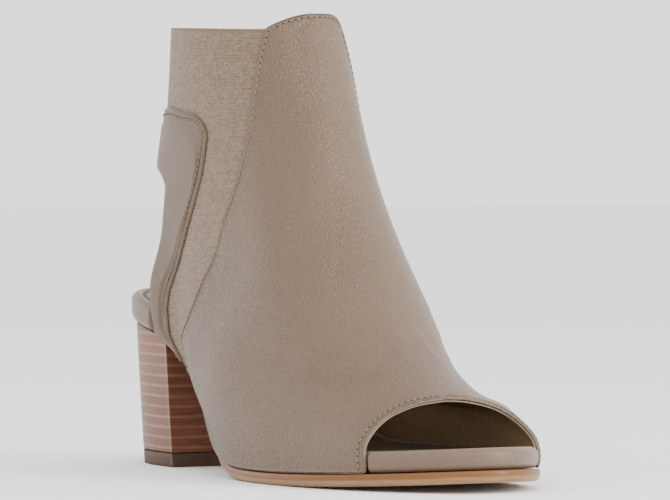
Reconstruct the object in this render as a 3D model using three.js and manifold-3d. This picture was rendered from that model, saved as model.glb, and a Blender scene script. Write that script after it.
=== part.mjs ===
import * as THREE from 'three';
import { mergeVertices } from 'three/addons/utils/BufferGeometryUtils.js';
import Module from 'manifold-3d';

const wasm = await Module();
wasm.setup();

// Open toe ankle boot on a stacked block heel, right foot, with a cut-out back.
// Millimetres. +X points to the toe, +Y to the inner side of the foot, +Z up. The floor is z = 0.

// Driving sizes of the last
const LAST_LENGTH = 240;
const BALL_WIDTH = 84;
const SHAFT_DEPTH = 90;
const SHAFT_WIDTH = 56;
const SHAFT_HEIGHT = 163;
const COLLAR_TILT = 1.9; // rise of the collar's back over its front
const TILT_FROM = 0.8; // share of the height from which the wall stretches up to it
const SEAT_HEIGHT = 53;
const BALL_HEIGHT = 4.5;
const TOE_SPRING = 4.4;

// Driving sizes of the pieces
const LEATHER = 1.2;
const BASE_WALL = 1.4;
const GAP = 0.3;
const LEATHER_GAP = 0.7;
const STRAP_PUFF = 1.0;
const TAB_RISE = 6.1;
const TAB_POWER_OUTER = 0.8;
const TAB_POWER_INNER = 0.35;
const FOOTBED_TOE = 7.6;
const FOOTBED_HEEL = 10.2;
const FOOTBED_ROUND = 2.4;
const FOOTBED_ROLL_OUT = 1.0;
const FOOTBED_UNDERCUT = 1.2;
const FOOTBED_SIDE_INSET = 0.3;
const FOOTBED_TOP_INSET = 1.0;
const OUTSOLE_THICK = 4.4;
const OUTSOLE_WAIST = 2.6;
const OUTSOLE_EDGE = 1.0;
const OUTSOLE_BEVEL = 0.9;
const OUTSOLE_TUCK = 2.2;
const OUTSOLE_TOP_INSET = 0.3;
const BREAST_FROM_BACK = 51.5;
const HEEL_FOOT_WIDTH = 52.8;
const HEEL_FOOT_DEPTH = 45.7;
const HEEL_INSET = 1.4;
const TOP_LIFT = 5.2;
const SEAM_REACH = 4;

const FOOTBED_GAP = LEATHER + LEATHER_GAP + BASE_WALL + GAP;

// Height of the feather line over the ball, as shares of the rise from ball to heel seat
const SHANK = [
  { along: 0.0, rise: 1.0 },
  { along: 0.083, rise: 0.99 },
  { along: 0.167, rise: 0.938 },
  { along: 0.208, rise: 0.866 },
  { along: 0.25, rise: 0.763 },
  { along: 0.333, rise: 0.474 },
  { along: 0.375, rise: 0.309 },
  { along: 0.417, rise: 0.171 },
  { along: 0.458, rise: 0.076 },
  { along: 0.5, rise: 0.025 },
  { along: 0.542, rise: 0.006 },
  { along: 0.604, rise: 0.0 },
];
const SPRING_START = 0.604;

// Level rings of the last from feather line (0) to collar (1). Back is a share of the length,
// span a share of the ring's own depth, which goes from the length to the shaft's depth.
const PROFILE = [
  { up: 0.0, back: -0.0104, span: 1.0 },
  { up: 0.03, back: -0.0104, span: 0.996 },
  { up: 0.07, back: -0.01, span: 0.968 },
  { up: 0.13, back: -0.003, span: 0.869 },
  { up: 0.172, back: 0.005, span: 0.81 },
  { up: 0.22, back: 0.013, span: 0.768 },
  { up: 0.34, back: 0.029, span: 0.784 },
  { up: 0.5, back: 0.047, span: 0.96 },
  { up: 0.66, back: 0.063, span: 1.216 },
  { up: 0.82, back: 0.076, span: 1.137 },
  { up: 1.0, back: 0.0875, span: 1.0 },
  { up: 1.1, back: 0.094, span: 0.933 },
];

// Places around a ring, in degrees of turn from the front ridge
const PLACES = { tip: 0, toes: 36.9, ball: 66.4, arch: 90, waist: 113.6, seat: 143.1, back: 180 };

// Half widths of the rings, as shares of the ring's own width
const WIDTHS = [
  { up: 0.0, tip: 0.555, toes: 0.595, ball: 0.53, arch: 0.43, waist: 0.375, seat: 0.55, back: 0.68 },
  { up: 0.07, tip: 0.565, toes: 0.615, ball: 0.55, arch: 0.45, waist: 0.39, seat: 0.56, back: 0.68 },
  { up: 0.13, tip: 0.56, toes: 0.616, ball: 0.559, arch: 0.45, waist: 0.39, seat: 0.535, back: 0.63 },
  { up: 0.16, tip: 0.553, toes: 0.576, ball: 0.546, arch: 0.45, waist: 0.39, seat: 0.524, back: 0.606 },
  { up: 0.22, tip: 0.54, toes: 0.559, ball: 0.545, arch: 0.45, waist: 0.39, seat: 0.5, back: 0.56 },
  { up: 0.34, tip: 0.58, toes: 0.605, ball: 0.51, arch: 0.447, waist: 0.4, seat: 0.47, back: 0.51 },
  { up: 0.5, tip: 0.57, toes: 0.6, ball: 0.52, arch: 0.475, waist: 0.46, seat: 0.52, back: 0.55 },
  { up: 0.66, tip: 0.525, toes: 0.578, ball: 0.543, arch: 0.517, waist: 0.51, seat: 0.55, back: 0.58 },
  { up: 0.82, tip: 0.473, toes: 0.518, ball: 0.518, arch: 0.51, waist: 0.51, seat: 0.536, back: 0.554 },
  { up: 1.0, tip: 0.446, toes: 0.491, ball: 0.5, arch: 0.5, waist: 0.5, seat: 0.518, back: 0.536 },
  { up: 1.1, tip: 0.438, toes: 0.482, ball: 0.49, arch: 0.49, waist: 0.49, seat: 0.509, back: 0.527 },
];

// Sideways bend of the last: middle of each place, as shares of the ball width, + to the inner side
const BEND = [
  { up: 0.0, tip: 0.036, toes: 0.03, ball: -0.03, arch: -0.071, waist: -0.018, seat: 0, back: 0 },
  { up: 0.13, tip: 0.03, toes: 0.044, ball: -0.019, arch: -0.06, waist: -0.018, seat: 0, back: 0 },
  { up: 0.16, tip: 0.025, toes: 0.011, ball: -0.032, arch: -0.057, waist: -0.016, seat: 0, back: 0 },
  { up: 0.22, tip: 0.014, toes: 0.004, ball: -0.023, arch: -0.048, waist: -0.012, seat: 0, back: 0 },
  { up: 0.34, tip: 0.008, toes: 0.004, ball: -0.006, arch: -0.024, waist: -0.006, seat: 0, back: 0 },
  { up: 0.5, tip: 0, toes: 0, ball: -0.006, arch: -0.006, waist: 0, seat: 0, back: 0 },
  { up: 0.66, tip: 0, toes: 0, ball: 0, arch: 0, waist: 0, seat: 0, back: 0 },
  { up: 1.1, tip: 0, toes: 0, ball: 0, arch: 0, waist: 0, seat: 0, back: 0 },
];

// Edges drawn on the last, in degrees of turn from the front ridge and shares up to the collar
const TOE_ARCH_OUTER = [
  { turn: 0, up: 0.144 },
  { turn: 13, up: 0.136 },
  { turn: 22, up: 0.126 },
  { turn: 28.3, up: 0.113 },
  { turn: 35.4, up: 0.09 },
  { turn: 40.8, up: 0.063 },
  { turn: 42.6, up: 0.036 },
  { turn: 43, up: 0 },
];
const TOE_ARCH_INNER = [
  { turn: 0, up: 0.144 },
  { turn: 10.7, up: 0.142 },
  { turn: 20, up: 0.134 },
  { turn: 27, up: 0.118 },
  { turn: 30.6, up: 0.096 },
  { turn: 32.2, up: 0.07 },
  { turn: 32.8, up: 0.036 },
  { turn: 33, up: 0 },
];
const VAMP_SEAM = [
  { turn: 115.8, up: 0 },
  { turn: 106, up: 0.18 },
  { turn: 96.2, up: 0.307 },
  { turn: 86.1, up: 0.418 },
  { turn: 78.8, up: 0.476 },
  { turn: 71.6, up: 0.56 },
  { turn: 64.9, up: 0.622 },
  { turn: 59.1, up: 0.687 },
  { turn: 53.6, up: 0.766 },
  { turn: 49, up: 0.854 },
  { turn: 42.8, up: 0.935 },
  { turn: 36.2, up: 1.0 },
];
const CUT_OUT = [
  { turn: 129, up: 0 },
  { turn: 129, up: 0.1 },
  { turn: 128.7, up: 0.18 },
  { turn: 127, up: 0.26 },
  { turn: 125, up: 0.36 },
  { turn: 123.5, up: 0.44 },
  { turn: 121.6, up: 0.495 },
  { turn: 125, up: 0.518 },
  { turn: 137, up: 0.537 },
  { turn: 158, up: 0.546 },
  { turn: 180, up: 0.548 },
];
const STRAP_EDGE = [
  { turn: 117, up: 0 },
  { turn: 119.5, up: 0.012 },
  { turn: 121.6, up: 0.037 },
  { turn: 119.8, up: 0.124 },
  { turn: 118.1, up: 0.182 },
  { turn: 114, up: 0.28 },
  { turn: 107.5, up: 0.39 },
  { turn: 99.2, up: 0.52 },
  { turn: 92.6, up: 0.6 },
  { turn: 86.4, up: 0.668 },
  { turn: 82.5, up: 0.728 },
  { turn: 81.2, up: 0.763 },
  { turn: 85.3, up: 0.791 },
  { turn: 93.6, up: 0.802 },
  { turn: 109.2, up: 0.78 },
  { turn: 136, up: 0.739 },
  { turn: 180, up: 0.731 },
];

// Share of the way along the cut-out, from its foot, to the corner under the back band
const CUT_OUT_CORNER = 0.64;
const TAB_START_DEG = 36.2;

// Grid counts
const FOOT_CROWDING = 1.32;
const BODY_COLUMNS = 42;
const BODY_ROWS = 13;
const SEAM_COLUMNS = 24;
const SEAM_ROWS = 40;
const STRAP_COLUMNS = 56;
const STRAP_ROWS = 4;
const SOLE_STATIONS = 48;
const FOOTBED_STATIONS = 72;
const HEEL_STATIONS = 18;
const HEEL_LEVELS = 4;

const RADIAN = Math.PI / 180;
const mix = (a, b, t) => a + (b - a) * t;
const clamp = (t) => Math.min(1, Math.max(0, t));
const ease = (t) => clamp(t) ** 2 * (3 - 2 * clamp(t));

const evenly = (first, last, count) => (
  Array.from({ length: count + 1 }, (unused, i) => mix(first, last, i / count))
);

// Smooth curve through knots (xs, ys) read at x
function through(xs, ys, x) {
  const last = xs.length - 1;
  const at = Math.min(xs[last], Math.max(xs[0], x));
  let i = 0;
  while (i < last - 1 && xs[i + 1] < at) i += 1;
  const slope = (k) => {
    const a = Math.max(k - 1, 0);
    const b = Math.min(k + 1, last);
    return (ys[b] - ys[a]) / (xs[b] - xs[a]);
  };
  const h = xs[i + 1] - xs[i];
  const t = (at - xs[i]) / h;
  const t2 = t * t;
  const t3 = t2 * t;
  return (2 * t3 - 3 * t2 + 1) * ys[i] + (t3 - 2 * t2 + t) * h * slope(i)
    + (3 * t2 - 2 * t3) * ys[i + 1] + (t3 - t2) * h * slope(i + 1);
}

const column = (table, name) => table.map((row) => row[name]);
const shaftShare = (up) => ease((up - 0.13) / 0.6);
const ringDepth = (up) => mix(LAST_LENGTH, SHAFT_DEPTH, shaftShare(up));
const ringWidth = (up) => mix(BALL_WIDTH, SHAFT_WIDTH, shaftShare(up));

const profileUps = column(PROFILE, 'up');
const profileBacks = PROFILE.map((row) => row.back * LAST_LENGTH);
const profileSpans = PROFILE.map((row) => row.span * ringDepth(row.up));
const ringBack = (up) => through(profileUps, profileBacks, up);
const ringSpan = (up) => through(profileUps, profileSpans, up);

const placeNames = Object.keys(PLACES);
const placeTurns = Object.values(PLACES);
const widthUps = column(WIDTHS, 'up');
const widthColumns = placeNames.map((name) => WIDTHS.map((row) => row[name] * ringWidth(row.up)));
const bendUps = column(BEND, 'up');
const bendColumns = placeNames.map((name) => BEND.map((row) => row[name] * BALL_WIDTH));

// Height of the feather line at a distance from the back of the heel seat
function featherHeight(distance) {
  const along = distance / LAST_LENGTH;
  const rise = through(column(SHANK, 'along'), column(SHANK, 'rise'), along);
  const spring = clamp((along - SPRING_START) / (1 - SPRING_START)) ** 1.7;
  return BALL_HEIGHT + rise * (SEAT_HEIGHT - BALL_HEIGHT) + spring * TOE_SPRING;
}

const forward = (turn) => (1 + Math.cos(turn * RADIAN)) / 2;

// A point on the outside of the last
function lastPoint(turn, up) {
  const around = Math.abs(turn);
  const halves = widthColumns.map((ys) => through(widthUps, ys, up));
  const middles = bendColumns.map((ys) => through(bendUps, ys, up));
  const half = through(placeTurns, halves, around);
  const middle = through(placeTurns, middles, around);
  const x = ringBack(up) + ringSpan(up) * forward(turn);
  const y = middle + Math.sin(turn * RADIAN) * half;
  const foot = featherHeight(ringBack(0) + ringSpan(0) * forward(turn));
  const tilt = COLLAR_TILT * (1 - forward(turn)) * ease((up - TILT_FROM) / (1 - TILT_FROM));
  return new THREE.Vector3(x, y, mix(foot, SHAFT_HEIGHT, up) + tilt);
}

// The outward direction there, kept level at the feather line so that walls stand on the sole
function outward(turn, up) {
  const step = 0.4;
  const rise = 0.004;
  const aroundStep = lastPoint(turn + step, up).sub(lastPoint(turn - step, up));
  const upStep = lastPoint(turn, up + rise).sub(lastPoint(turn, Math.max(0, up - rise)));
  const normal = aroundStep.cross(upStep).normalize();
  normal.z *= ease(up / 0.1);
  return normal.normalize();
}

// A point under the last's outside, which near the feather line stays on the sole's own slope
function wallPoint(turn, up, depth) {
  const outside = lastPoint(turn, up);
  const point = outside.clone().addScaledVector(outward(turn, up), -depth);
  const slope = featherHeight(point.x) - featherHeight(outside.x);
  point.z += slope * (1 - ease(up / 0.1));
  return point;
}

// Curve through the rows of an edge table, read by the share of its length passed. A degree of
// turn counts as the same share of the ball's width everywhere.
const TURN_REACH = BALL_WIDTH / 112;
function edge(rows, share, side = 1) {
  const lengths = [0];
  for (let i = 1; i < rows.length; i += 1) {
    const across = (rows[i].turn - rows[i - 1].turn) * TURN_REACH;
    const rise = (rows[i].up - rows[i - 1].up) * SHAFT_HEIGHT;
    lengths.push(lengths[i - 1] + Math.hypot(across, rise));
  }
  const at = share * lengths[lengths.length - 1];
  return {
    turn: side * through(lengths, column(rows, 'turn'), at),
    up: through(lengths, column(rows, 'up'), at),
  };
}

// Closed mesh from triangles of points, welded, without empty triangles and facing out
function solid(triangles) {
  const flat = triangles.flatMap((triangle) => triangle.flatMap((p) => [p.x, p.y, p.z]));
  const loose = new THREE.BufferGeometry();
  loose.setAttribute('position', new THREE.Float32BufferAttribute(flat, 3));
  const welded = mergeVertices(loose, 1e-3);
  const index = Array.from(welded.index.array);
  const kept = [];
  for (let i = 0; i < index.length; i += 3) {
    const [a, b, c] = index.slice(i, i + 3);
    if (a !== b && b !== c && c !== a) kept.push([a, b, c]);
  }
  const place = (i) => new THREE.Vector3().fromBufferAttribute(welded.attributes.position, i);
  const volume = kept.reduce((sum, [a, b, c]) => sum + place(a).dot(place(b).cross(place(c))), 0);
  const facing = volume < 0 ? kept.map(([a, b, c]) => [a, c, b]) : kept;
  welded.setIndex(facing.flat());
  welded.computeVertexNormals();
  return welded;
}

const quad = (a, b, c, d) => [[a, b, c], [a, c, d]];

// A sheet with thickness. Both faces are grids of points [column][row], and closed joins its ends.
function sheet(outer, inner, closed = false) {
  const triangles = [];
  const columns = outer.length;
  const rows = outer[0].length;
  const spans = closed ? columns : columns - 1;
  for (let i = 0; i < spans; i += 1) {
    const j = (i + 1) % columns;
    for (let k = 0; k < rows - 1; k += 1) {
      triangles.push(...quad(outer[i][k], outer[j][k], outer[j][k + 1], outer[i][k + 1]));
      triangles.push(...quad(inner[i][k], inner[i][k + 1], inner[j][k + 1], inner[j][k]));
    }
    triangles.push(...quad(inner[i][0], inner[j][0], outer[j][0], outer[i][0]));
    triangles.push(...quad(outer[i][rows - 1], outer[j][rows - 1], inner[j][rows - 1], inner[i][rows - 1]));
  }
  if (!closed) {
    for (let k = 0; k < rows - 1; k += 1) {
      const end = columns - 1;
      triangles.push(...quad(outer[0][k], outer[0][k + 1], inner[0][k + 1], inner[0][k]));
      triangles.push(...quad(inner[end][k], inner[end][k + 1], outer[end][k + 1], outer[end][k]));
    }
  }
  return solid(triangles);
}

// Sections of equal count joined one after another, with both end sections filled
function loft(sections) {
  const triangles = [];
  const count = sections[0].length;
  for (let i = 0; i < sections.length - 1; i += 1) {
    for (let k = 0; k < count; k += 1) {
      const n = (k + 1) % count;
      triangles.push(...quad(sections[i][k], sections[i + 1][k], sections[i + 1][n], sections[i][n]));
    }
  }
  const half = count / 2;
  for (const [section, flip] of [[sections[0], false], [sections[sections.length - 1], true]]) {
    for (let k = 0; k < half - 1; k += 1) {
      const corners = [section[k], section[k + 1], section[count - 2 - k], section[count - 1 - k]];
      if (flip) corners.reverse();
      triangles.push(...quad(...corners));
    }
  }
  return solid(triangles);
}

// Places on the straight way between two places of the last, spaced as the surface runs and a
// little closer at the foot
function evenPlaces(a, b, count) {
  const at = (t) => ({ turn: mix(a.turn, b.turn, t), up: mix(a.up, b.up, t) });
  const fine = evenly(0, 1, 4 * count);
  const points = fine.map((t) => lastPoint(at(t).turn, at(t).up));
  const lengths = [0];
  for (let i = 1; i < points.length; i += 1) {
    lengths.push(lengths[i - 1] + points[i].distanceTo(points[i - 1]));
  }
  const total = lengths[lengths.length - 1];
  return evenly(0, 1, count).map((share) => {
    const length = total * share ** FOOT_CROWDING;
    const i = Math.max(1, lengths.findIndex((value) => value >= length - 1e-9));
    const part = (length - lengths[i - 1]) / Math.max(1e-9, lengths[i] - lengths[i - 1]);
    return at(mix(fine[i - 1], fine[i], part));
  });
}

// Panel between two edges on the last, at two depths under the leather's outside
function panel(first, second, columns, rows, outerDepth, innerDepth, closed = false) {
  const places = [];
  for (let i = 0; i < (closed ? columns : columns + 1); i += 1) {
    places.push(evenPlaces(first(i / columns), second(i / columns), rows));
  }
  const face = (depth) => places.map((line) => line.map((p) => wallPoint(p.turn, p.up, depth)));
  return sheet(face(outerDepth), face(innerDepth), closed);
}

// Collar line: level over the elastic, rising to the tab on the vamp
function collarUp(turn) {
  const onTab = clamp(1 - Math.abs(turn) / TAB_START_DEG);
  const fullness = turn < 0 ? TAB_POWER_OUTER : TAB_POWER_INNER;
  return 1 + (TAB_RISE / (SHAFT_HEIGHT - BALL_HEIGHT)) * Math.sin(onTab * 90 * RADIAN) ** fullness;
}

// Lower edge of the wall on one side, from the toe arch along the sole to the middle of the back
const BODY_KNOTS = [0, 0.2, 0.64, 0.83, 1];
const BODY_TOP_TURNS = [0, 34, 92, 122, 180];
function bodyFoot(share, side) {
  const arch = side < 0 ? TOE_ARCH_OUTER : TOE_ARCH_INNER;
  const archFoot = arch[arch.length - 1].turn;
  const [, toe, heel, corner] = BODY_KNOTS;
  if (share <= toe) return edge(arch, share / toe, side);
  if (share <= heel) {
    return { turn: side * mix(archFoot, CUT_OUT[0].turn, (share - toe) / (heel - toe)), up: 0 };
  }
  if (share <= corner) return edge(CUT_OUT, CUT_OUT_CORNER * (share - heel) / (corner - heel), side);
  return edge(CUT_OUT, mix(CUT_OUT_CORNER, 1, (share - corner) / (1 - corner)), side);
}

// Larger form over the whole last between two depths, open at collar, toe and heel
function bodyForm(outerDepth, innerDepth) {
  const sideOf = (t) => (t < 0.5 ? -1 : 1);
  const share = (t) => (t < 0.5 ? 2 * t : 2 - 2 * t);
  const foot = (t) => bodyFoot(share(t), sideOf(t));
  const top = (t) => {
    const turn = through(BODY_KNOTS, BODY_TOP_TURNS, share(t));
    return { turn: sideOf(t) * turn, up: collarUp(turn) };
  };
  return panel(foot, top, 2 * BODY_COLUMNS, BODY_ROWS, outerDepth, innerDepth, true);
}

// The wall under the leather: lining and elastic in one hollow piece
const makeUpper = () => bodyForm(LEATHER + LEATHER_GAP, LEATHER + LEATHER_GAP + BASE_WALL);

const toManifold = (geometry) => new wasm.Manifold(new wasm.Mesh({
  numProp: 3,
  vertProperties: geometry.attributes.position.array,
  triVerts: new Uint32Array(geometry.index.array),
}));

function fromManifold(manifold) {
  const { vertProperties, triVerts } = manifold.getMesh();
  const corner = (i) => new THREE.Vector3().fromArray(vertProperties, 3 * triVerts[i]);
  const triangles = [];
  for (let i = 0; i < triVerts.length; i += 3) triangles.push([corner(i), corner(i + 1), corner(i + 2)]);
  return solid(triangles);
}

// Front leather: cut between two larger forms, from the sole and toe arch to the seams at the elastic
function makeVamp() {
  const rise = (row) => mix(-0.06, 1.09, row / SEAM_ROWS);
  const rows = Array.from({ length: SEAM_ROWS + 1 }, (unused, row) => rise(row));
  const seamUps = column(VAMP_SEAM, 'up');
  const seamTurns = column(VAMP_SEAM, 'turn');
  const line = (turnShare, depth) => rows.map((up) => {
    const turn = through(seamUps, seamTurns, clamp(up));
    return wallPoint(turnShare * turn, up, depth);
  });
  const shares = evenly(-1, 1, SEAM_COLUMNS);
  const outer = shares.map((share) => line(share, -SEAM_REACH));
  const inner = shares.map((share) => line(share, SEAM_REACH));
  const seamForm = toManifold(sheet(outer, inner));
  return fromManifold(toManifold(bodyForm(0, LEATHER)).intersect(seamForm).simplify(0.005));
}

// Back leather: a saddle over the cut-out that comes down to the sole as a strap on each side
function strapFoot(t) {
  const side = t < 0.5 ? -1 : 1;
  const share = t < 0.5 ? 2 * t : 2 - 2 * t;
  const tail = 0.07;
  const turn = t === 0.5 ? 180 : null;
  if (share < tail) {
    return { turn: side * mix(STRAP_EDGE[0].turn, CUT_OUT[0].turn, share / tail), up: 0 };
  }
  const place = edge(CUT_OUT, (share - tail) / (1 - tail), side);
  return turn === null ? place : { turn: side * turn, up: place.up };
}
function strapTop(t) {
  const side = t < 0.5 ? -1 : 1;
  return edge(STRAP_EDGE, t < 0.5 ? 2 * t : 2 - 2 * t, side);
}

// Each half of the saddle is laid out on its own side and both meet in the middle of the back
function makeStrap() {
  const half = STRAP_COLUMNS / 2;
  const line = (i) => {
    const side = i <= half ? -1 : 1;
    const t = i / STRAP_COLUMNS;
    const a = strapFoot(t);
    const b = strapTop(t);
    const places = [];
    for (let k = 0; k <= STRAP_ROWS; k += 1) {
      const across = k / STRAP_ROWS;
      const turn = side * mix(Math.abs(a.turn), Math.abs(b.turn), across);
      places.push({ turn, up: mix(a.up, b.up, across), across });
    }
    return places;
  };
  const lines = Array.from({ length: STRAP_COLUMNS + 1 }, (unused, i) => line(i));
  const puff = (across) => STRAP_PUFF * Math.sin(Math.PI * across) ** 0.7;
  const outer = lines.map((places) => places.map((p) => wallPoint(p.turn, p.up, -puff(p.across))));
  const inner = lines.map((places) => places.map((p) => wallPoint(p.turn, p.up, LEATHER)));
  return sheet(outer, inner);
}

// Point of the sole's outline, moved out in plan from the feather line
function outlinePoint(turn, out, up = 0) {
  const step = 0.5;
  const along = lastPoint(turn + step, up).sub(lastPoint(turn - step, up));
  const away = new THREE.Vector3(along.y, -along.x, 0).normalize();
  return lastPoint(turn, up).addScaledVector(away, out);
}

// The footbed steps out within a few degrees past the edge of the leather
const FOOTBED_STEP_START_DEG = 1.2;
const FOOTBED_STEP_DEG = 2;

// Share by which the footbed shows past the leather, at the toe and at the heel
function footbedShown(turn) {
  const side = turn < 0 ? TOE_ARCH_OUTER : TOE_ARCH_INNER;
  const toeEdge = side[side.length - 1].turn;
  return {
    toe: ease((toeEdge - FOOTBED_STEP_START_DEG - Math.abs(turn)) / FOOTBED_STEP_DEG),
    heel: ease((Math.abs(turn) - CUT_OUT[0].turn - FOOTBED_STEP_START_DEG) / FOOTBED_STEP_DEG),
  };
}

const footbedThick = (x) => mix(FOOTBED_HEEL, FOOTBED_TOE, ease(x / (0.5 * LAST_LENGTH)));

// Section across the sole: rows of points from the outer side, then back along the inner one
function crossSection(turn, rows, firstX = -Infinity) {
  const side = (sideTurn) => rows.map(({ out, height, up }) => {
    const point = outlinePoint(sideTurn, out(sideTurn), up ? up(sideTurn) : 0);
    point.x = Math.max(point.x, firstX);
    return point.setZ(height(point.x));
  });
  return [...side(-turn), ...side(turn).reverse()];
}

// Padded footbed wrapped in leather, rounded on top. It fills the wall's inside where that
// covers it, and grows out to the leather's own outline where it shows.
function makeFootbed() {
  const row = (share, inset, drop) => ({
    out: (turn) => {
      const { toe, heel } = footbedShown(turn);
      return mix(-FOOTBED_GAP, mix(-GAP, FOOTBED_ROLL_OUT, heel), Math.max(toe, heel)) - inset;
    },
    up: (turn) => {
      const { toe, heel } = footbedShown(turn);
      const foot = lastPoint(turn, 0);
      const level = share * footbedThick(foot.x) / (SHAFT_HEIGHT - foot.z);
      return level * (1 - Math.max(toe, heel));
    },
    height: (x) => featherHeight(x) + footbedThick(x) * share - drop,
  });
  const round = FOOTBED_ROUND;
  const rows = [
    row(0, FOOTBED_UNDERCUT, 0),
    row(0.35, FOOTBED_SIDE_INSET, 0),
    row(1, FOOTBED_TOP_INSET, round),
    row(1, FOOTBED_TOP_INSET + round * 0.3, round * 0.3),
    row(1, FOOTBED_TOP_INSET + round, 0),
  ];
  const toeEdges = [TOE_ARCH_OUTER, TOE_ARCH_INNER].map((arch) => arch[arch.length - 1].turn);
  const stepStart = FOOTBED_STEP_START_DEG;
  const stepEnd = FOOTBED_STEP_START_DEG + FOOTBED_STEP_DEG;
  const steps = [
    ...toeEdges.flatMap((turn) => [turn - stepStart, turn - stepEnd]),
    CUT_OUT[0].turn + stepStart,
    CUT_OUT[0].turn + stepEnd,
  ];
  const turns = [...evenly(0, 180, FOOTBED_STATIONS), ...steps].sort((a, b) => a - b);
  return loft(turns.map((turn) => crossSection(turn, rows)));
}

// Outsole: bevelled edge, thin in the waist, flat under the ball, ends at the heel's breast
const breastX = () => ringBack(0) + BREAST_FROM_BACK;
function makeOutsole() {
  const endShare = (breastX() + GAP - ringBack(0)) / ringSpan(0);
  const endTurn = Math.acos(2 * endShare - 1) / RADIAN;
  const waistShare = (x) => ease(1 - (x - breastX()) / (0.23 * LAST_LENGTH));
  const thick = (x) => mix(OUTSOLE_THICK, OUTSOLE_WAIST, waistShare(x));
  const under = (x) => Math.max(0, featherHeight(x) - GAP - thick(x));
  const top = (x) => featherHeight(x) - GAP;
  const row = (inset, height) => ({
    out: (turn) => mix(OUTSOLE_EDGE, -OUTSOLE_TUCK, waistShare(lastPoint(turn, 0).x)) - inset,
    height,
  });
  const rows = [
    row(2 * OUTSOLE_BEVEL, under),
    row(0.35 * OUTSOLE_BEVEL, (x) => under(x) + OUTSOLE_BEVEL),
    row(0, (x) => mix(under(x), top(x), 0.6)),
    row(OUTSOLE_TOP_INSET, top),
  ];
  const firstX = breastX() + GAP;
  return loft(evenly(0, endTurn, SOLE_STATIONS).map((turn) => crossSection(turn, rows, firstX)));
}

// Outline of the block heel at a share of its height, from the back (0) to the breast (1)
const HEEL_SQUARENESS = 2.5;
const HEEL_SEAT_DEG = 118;
function heelOutline(along, share) {
  const breast = breastX();
  const seatBack = ringBack(0) + HEEL_INSET;
  const back = mix(breast - HEEL_FOOT_DEPTH, seatBack, share);
  const seatHalf = Math.abs(outlinePoint(-HEEL_SEAT_DEG, 0).y) - 0.3 * HEEL_INSET;
  const half = mix(HEEL_FOOT_WIDTH / 2, seatHalf, share ** 0.9);
  const angle = along * Math.PI / 2;
  const power = 2 / HEEL_SQUARENESS;
  return {
    x: breast - (breast - back) * Math.cos(angle) ** power * (along < 1 ? 1 : 0),
    half: half * Math.sin(angle) ** power,
  };
}

// Slice of the heel between two heights, each height a function of x
function heelSlice(low, high) {
  const sections = [];
  for (let i = 0; i <= HEEL_STATIONS; i += 1) {
    const along = i / HEEL_STATIONS;
    const side = [];
    for (let k = 0; k <= HEEL_LEVELS; k += 1) {
      const level = k / HEEL_LEVELS;
      const rough = heelOutline(along, mix(low(0), high(0), level) / SEAT_HEIGHT);
      const z = mix(low(rough.x), high(rough.x), level);
      const outline = heelOutline(along, z / SEAT_HEIGHT);
      side.push(new THREE.Vector3(outline.x, outline.half, mix(low(outline.x), high(outline.x), level)));
    }
    const mirrored = side.map((p) => new THREE.Vector3(p.x, -p.y, p.z));
    sections.push([...mirrored, ...side.reverse()]);
  }
  return loft(sections);
}

const makeHeel = () => heelSlice(() => TOP_LIFT + GAP, (x) => featherHeight(x) - GAP);
const makeTopLift = () => heelSlice(() => 0, () => TOP_LIFT);

function piece(name, geometry, color, roughness, metalness = 0) {
  const material = new THREE.MeshStandardMaterial({ color, roughness, metalness });
  const mesh = new THREE.Mesh(geometry, material);
  mesh.name = name;
  return mesh;
}

const boot = new THREE.Group();
boot.add(piece('outsole', makeOutsole(), 0xb98a5e, 0.5));
boot.add(piece('insole', makeFootbed(), 0xa39484, 0.5));
boot.add(piece('heel', makeHeel(), 0x8a5440, 0.45));
boot.add(piece('top_lift', makeTopLift(), 0x4b2f26, 0.7));
boot.add(piece('upper', makeUpper(), 0xb0a698, 0.85));
boot.add(piece('vamp', makeVamp(), 0x9c8d7e, 0.5));
boot.add(piece('heel_strap', makeStrap(), 0xa79b8e, 0.5));

// The middle of the footprint is the origin
const size = new THREE.Box3().setFromObject(boot);
boot.position.set(-(size.min.x + size.max.x) / 2, -(size.min.y + size.max.y) / 2, 0);

export default boot;
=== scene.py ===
import math
import random

import bpy
import numpy as np
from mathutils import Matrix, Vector, kdtree


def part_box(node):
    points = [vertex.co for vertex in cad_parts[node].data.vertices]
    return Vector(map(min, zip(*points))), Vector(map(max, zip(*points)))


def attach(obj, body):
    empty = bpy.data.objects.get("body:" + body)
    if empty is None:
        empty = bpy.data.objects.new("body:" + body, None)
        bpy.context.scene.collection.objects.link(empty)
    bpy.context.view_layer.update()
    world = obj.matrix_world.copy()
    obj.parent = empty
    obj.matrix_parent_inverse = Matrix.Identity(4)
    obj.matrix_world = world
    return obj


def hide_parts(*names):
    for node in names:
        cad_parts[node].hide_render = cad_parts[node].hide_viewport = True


# Open toe ankle boot, right foot. The forms are worked out in millimetres on the last, whose places
# are a turn in degrees from the front ridge (outer side negative) and a share up to the collar.

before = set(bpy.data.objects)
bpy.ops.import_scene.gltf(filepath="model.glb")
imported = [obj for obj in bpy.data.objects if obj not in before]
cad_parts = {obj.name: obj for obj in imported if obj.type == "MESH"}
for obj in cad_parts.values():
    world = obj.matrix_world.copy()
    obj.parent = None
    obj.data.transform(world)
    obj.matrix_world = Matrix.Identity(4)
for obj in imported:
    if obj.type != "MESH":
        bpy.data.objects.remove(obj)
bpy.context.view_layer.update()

MM = 0.001

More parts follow.
